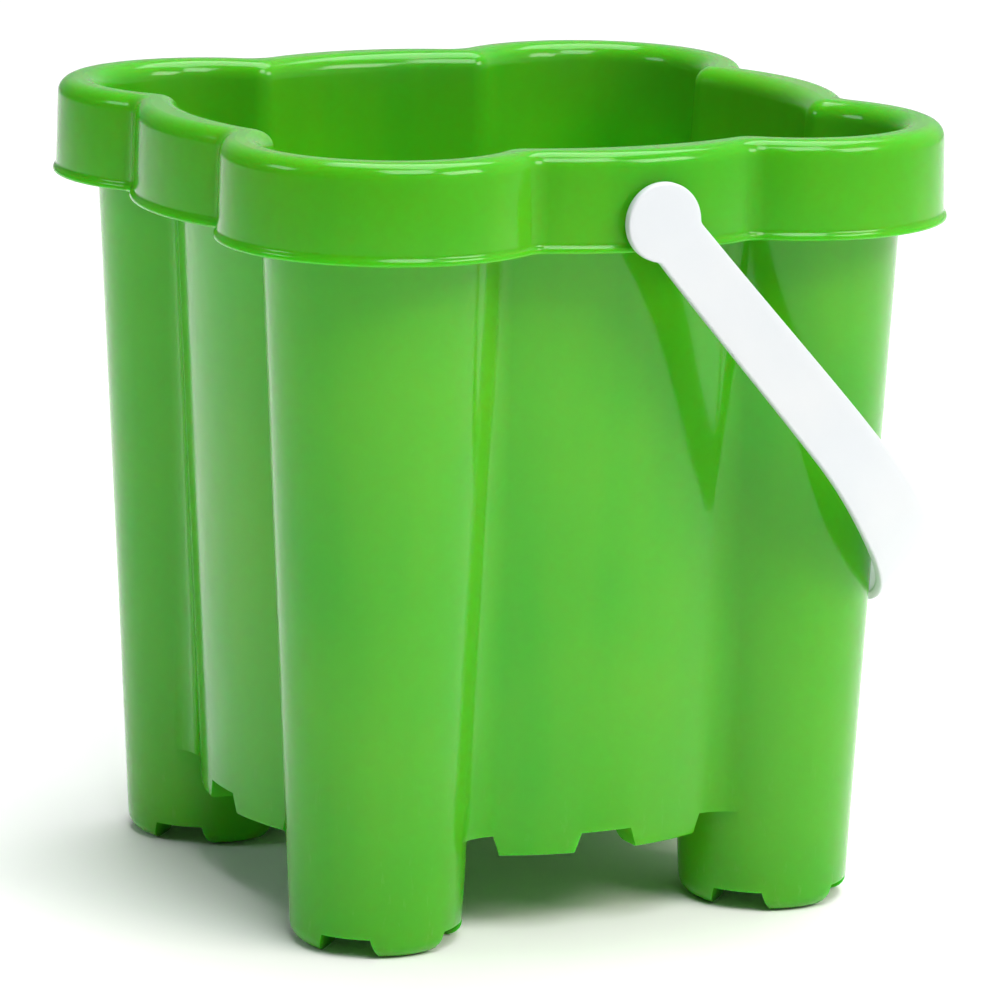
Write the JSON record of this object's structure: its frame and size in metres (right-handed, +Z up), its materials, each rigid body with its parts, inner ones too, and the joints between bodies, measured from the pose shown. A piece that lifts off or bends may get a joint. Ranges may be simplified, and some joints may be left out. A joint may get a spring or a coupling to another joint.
{
  "type": "sand bucket",
  "caption": "Square beach bucket with round corner towers that stand on castle-battlement feet, a turned-down wavy rim and a swinging strap handle hinged on opposite sides.",
  "frame": {"origin": "on the ground, on the bucket's vertical axis, midway between the four towers", "axes": "+Z up; Y along the handle's hinge line; the hanging handle rests against the +X side"},
  "size_m": [0.1831, 0.1874, 0.1884],
  "materials": {
    "bucket_plastic": "glossy moulded polypropylene, yellowish green, slightly translucent",
    "handle_plastic": "satin moulded polypropylene, white"
  },
  "bodies": {
    "bucket": {"bucket": "bucket_plastic"},
    "handle": {"handle": "handle_plastic"}
  },
  "joints": [
    {"name": "handle_swing", "type": "hinge", "parent": "bucket", "child": "handle", "pos_m": [0, 0, 0.1726], "axis": [0, -1, 0], "range_deg": [0, 278.4]}
  ]
}
